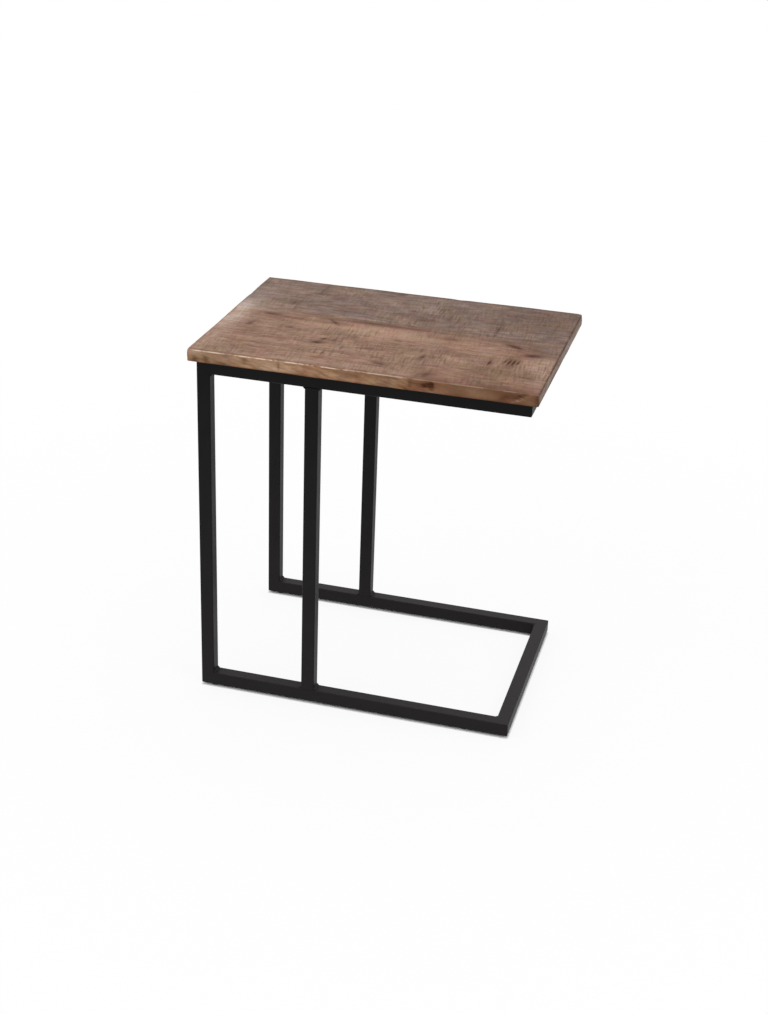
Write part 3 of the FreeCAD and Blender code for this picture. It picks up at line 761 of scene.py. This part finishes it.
def weldBead(corner, normals, length, s, seed):
    # a face that bulges between two others, carried along their corner: its size swells and fades
    # with crescent ripples, and closes to a point at both ends. The bulge is a parabola, and its
    # part along either face is the bulge over the root of 2
    along = np.linspace(-1, 1, s["stations"])[:, None]
    across = np.linspace(0, 1, s["faceRows"])[None, :]
    # the size of a sine repeats every half turn, and along counts in half lengths
    halfTurns = s["ripples"] * length / s["rippleSpan"] / 2
    phase = halfTurns * math.pi * along + s["crescent"] * (across - 0.5) ** 2
    wander = latticeNoise(along * 3 + seed, along * 0 + seed * 0.37, 21)
    full, closing = s["endShape"]
    swell = (1 - np.abs(along) ** full) ** closing * (s["wander"][0] + s["wander"][1] * wander)
    thinEnd = 0.2      # share of the swell below which there are no ripples
    size = s["leg"] * swell + s["rippleDepth"] * (np.abs(np.sin(phase)) - 1) * (swell > thinEnd)
    size = np.maximum(size, 0)
    bulge = 4 * s["crown"] * across * (1 - across) / s["leg"]
    eachWay = 0.7      # one over the root of 2, rounded
    first = size * (1 - across + bulge * eachWay)
    second = size * (across + bulge * eachWay)
    root = -s["sunk"] * swell
    first = np.concatenate([first, root], 1)     # the last row runs behind the corner, inside the tubes
    second = np.concatenate([second, root], 1)
    a, b = (np.array(n, float) for n in normals)
    t = np.cross(a, b)
    points = corner + first[..., None] * a + second[..., None] * b + along[..., None] * t * length / 2
    rows = points.shape[1]
    index = np.arange(points.shape[0] * rows).reshape(-1, rows)
    after = np.roll(index, -1, axis=1)
    quads = np.stack([index[:-1], after[:-1], after[1:], index[1:]], -1).reshape(-1, 4)
    return points.reshape(-1, 3), quads


def weldedPiece(name, node, corners, length, s):
    # one bead for each corner: its place in metres, and the directions in which its two faces lie
    points, quads, count = [], [], 0
    for seed, (corner, normals) in enumerate(corners):
        beadPoints, beadQuads = weldBead(np.array(corner) / mm, normals, length, s, seed + len(name))
        points.append(beadPoints)
        quads.append(beadQuads + count)
        count += len(beadPoints)
    makePiece(name, np.concatenate(points), np.concatenate(quads), coatMaterial, [node])
    print(name, "made,", len(corners), "beads")


def sideCorners(side):
    # inside the left corners, and both sides of the middle leg at its foot and head
    leg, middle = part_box(f"leg_{side}_left"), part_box(f"leg_{side}_middle")
    lower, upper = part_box(f"lower_rail_{side}"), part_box(f"upper_rail_{side}")
    y = (lower[0].y + lower[1].y) / 2
    corners = []
    for z, facing in ((lower[1].z, (0, 0, 1)), (upper[0].z, (0, 0, -1))):
        corners.append(((leg[1].x, y, z), ((1, 0, 0), facing)))
        corners.append(((middle[0].x, y, z), ((-1, 0, 0), facing)))
        corners.append(((middle[1].x, y, z), ((1, 0, 0), facing)))
    return corners


def barCorners():
    # inside the right corners, and beside and under the left bar
    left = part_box("upper_cross_bar_left")
    corners = []
    for side, end, facing in (("front", 1, (0, 1, 0)), ("rear", 0, (0, -1, 0))):
        for level in ("lower", "upper"):
            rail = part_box(f"{level}_rail_{side}")
            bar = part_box("lower_cross_bar" if level == "lower" else "upper_cross_bar_right")
            z = (rail[0].z + rail[1].z) / 2
            corners.append(((bar[0].x, rail[end].y, z), ((-1, 0, 0), facing)))
        corners.append(((left[1].x, rail[end].y, z), ((1, 0, 0), facing)))
        middle = (left[0].x + left[1].x) / 2
        corners.append(((middle, rail[end].y, left[0].z), (facing, (0, 0, -1))))
    return corners


def tabCorners():
    # under the tabs, where they meet the upper rails
    corners = []
    for side, end, facing in (("front", 1, (0, 1, 0)), ("rear", 0, (0, -1, 0))):
        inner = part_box(f"upper_rail_{side}")[end].y
        for place in ("left", "right"):
            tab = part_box(f"fixing_tab_{side}_{place}")
            middle = (tab[0].x + tab[1].x) / 2
            corners.append(((middle, inner, tab[0].z), (facing, (0, 0, -1))))
    return corners


for name, node, corners, length in (
    ("rippledWeldsFront", "weld_beads_front_frame", sideCorners("front"), beadSet["length"]),
    ("rippledWeldsRear", "weld_beads_rear_frame", sideCorners("rear"), beadSet["length"]),
    ("rippledWeldsBars", "weld_beads_cross_bars", barCorners(), beadSet["length"]),
    ("rippledWeldsTabs", "weld_beads_tabs", tabCorners(), beadSet["tabLength"]),
):
    weldedPiece(name, node, corners, length, beadSet)

# Floor, world and lamps

stageSet = {
    "floorSize": 30.0,                 # metres
    "floor": "#fbfbfb",
    "floorShown": (0.88, 1.0),         # share of the seen floor that is plain white, near and far off
    "shadowReach": (0.45, 1.5),        # metres from the middle, over which the near share becomes the far one
    "contact": 2.5,                    # mm beside the floor rails, over which that white comes in
    "fill": 0.78,                      # strength of the white room round the object
}


def seenDirectly(tree):
    # 1 for camera, glossy and transmission rays, which see plain white
    rays = addNode(tree, "ShaderNodeLightPath", {}).node
    seen = addNode(tree, "ShaderNodeMath", {
        0: rays.outputs["Is Camera Ray"], 1: rays.outputs["Is Glossy Ray"]}, operation="MAXIMUM")
    return addNode(tree, "ShaderNodeMath", {
        0: seen, 1: rays.outputs["Is Transmission Ray"]}, operation="MAXIMUM")


def makeFloor(s):
    half = s["floorSize"] / 2
    mesh = bpy.data.meshes.new("floor")
    corners = [(-half, -half, 0), (half, -half, 0), (half, half, 0), (-half, half, 0)]
    mesh.from_pydata(corners, [], [(0, 1, 2, 3)])
    material = bpy.data.materials.new("paleFloor")
    material.use_nodes = True
    tree = material.node_tree
    tree.nodes.clear()
    matt = addNode(tree, "ShaderNodeBsdfDiffuse", {"Color": hexColour(s["floor"])})
    plain = addNode(tree, "ShaderNodeEmission", {"Color": (1, 1, 1, 1), "Strength": 1.0})
    place = addNode(tree, "ShaderNodeTexCoord", {}, "Object")
    distance = addNode(tree, "ShaderNodeVectorMath", {0: place}, "Value", operation="LENGTH")
    shown = addNode(tree, "ShaderNodeMapRange", {
        "Value": distance, "From Min": s["shadowReach"][0], "From Max": s["shadowReach"][1],
        "To Min": s["floorShown"][0], "To Max": s["floorShown"][1]}, interpolation_type="SMOOTHSTEP")

    # under the rails and the cross bar the floor lies in their shadow
    nearest = s["floorSize"]
    for node in ("lower_rail_front", "lower_rail_rear", "lower_cross_bar"):
        low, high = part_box(node)
        middle, size = (low + high) / 2, (high - low) / 2
        away = addNode(tree, "ShaderNodeVectorMath", {
            0: place, 1: (middle.x, middle.y, 0)}, operation="SUBTRACT")
        away = addNode(tree, "ShaderNodeVectorMath", {0: away}, operation="ABSOLUTE")
        away = addNode(tree, "ShaderNodeVectorMath", {0: away, 1: (size.x, size.y, 0)}, operation="SUBTRACT")
        away = addNode(tree, "ShaderNodeVectorMath", {0: away}, operation="MAXIMUM")
        away = addNode(tree, "ShaderNodeVectorMath", {0: away}, "Value", operation="LENGTH")
        nearest = addNode(tree, "ShaderNodeMath", {0: away, 1: nearest}, operation="MINIMUM")
    clear = addNode(tree, "ShaderNodeMapRange", {"Value": nearest, "From Max": s["contact"] * mm})
    shown = addNode(tree, "ShaderNodeMath", {0: shown, 1: clear}, operation="MULTIPLY")
    share = addNode(tree, "ShaderNodeMath", {0: seenDirectly(tree), 1: shown}, operation="MULTIPLY")
    mixed = addNode(tree, "ShaderNodeMixShader", {0: share, 1: matt, 2: plain})
    surface = tree.nodes.new("ShaderNodeOutputMaterial")
    tree.links.new(mixed, surface.inputs["Surface"])
    mesh.materials.append(material)
    floor = bpy.data.objects.new("floor", mesh)
    bpy.context.scene.collection.objects.link(floor)


def makeWorld(s):
    world = bpy.data.worlds.new("studio")
    world.use_nodes = True
    bpy.context.scene.world = world
    tree = world.node_tree
    tree.nodes.clear()
    strength = addNode(tree, "ShaderNodeMix", {"Factor": seenDirectly(tree), "A": s["fill"], "B": 1.0})
    background = addNode(tree, "ShaderNodeBackground", {"Color": (1, 1, 1, 1), "Strength": strength})
    surface = tree.nodes.new("ShaderNodeOutputWorld")
    tree.links.new(background, surface.inputs["Surface"])


lampSet = {
    # name: place in metres, size in metres, watts
    "softboxLeft": ((-1.7, -1.5, 2.2), 1.6, 12.0),
    "softboxRight": ((1.9, -1.3, 1.7), 1.4, 6.0),
    "softboxTop": ((0.1, 0.5, 2.6), 1.8, 9.0),
}


def placeLamps(lamps):
    aim = Vector((0, 0, 0.35))         # metres, a little above the middle of the table
    for name, (place, size, watts) in lamps.items():
        data = bpy.data.lights.new(name, "AREA")
        data.shape = "SQUARE"
        data.size = size
        data.energy = watts
        lamp = bpy.data.objects.new(name, data)
        lamp.location = place
        lamp.rotation_euler = (aim - Vector(place)).to_track_quat("-Z", "Y").to_euler()
        bpy.context.scene.collection.objects.link(lamp)


makeFloor(stageSet)
makeWorld(stageSet)
placeLamps(lampSet)
bpy.context.scene.view_settings.view_transform = "Standard"
print("stage lit")
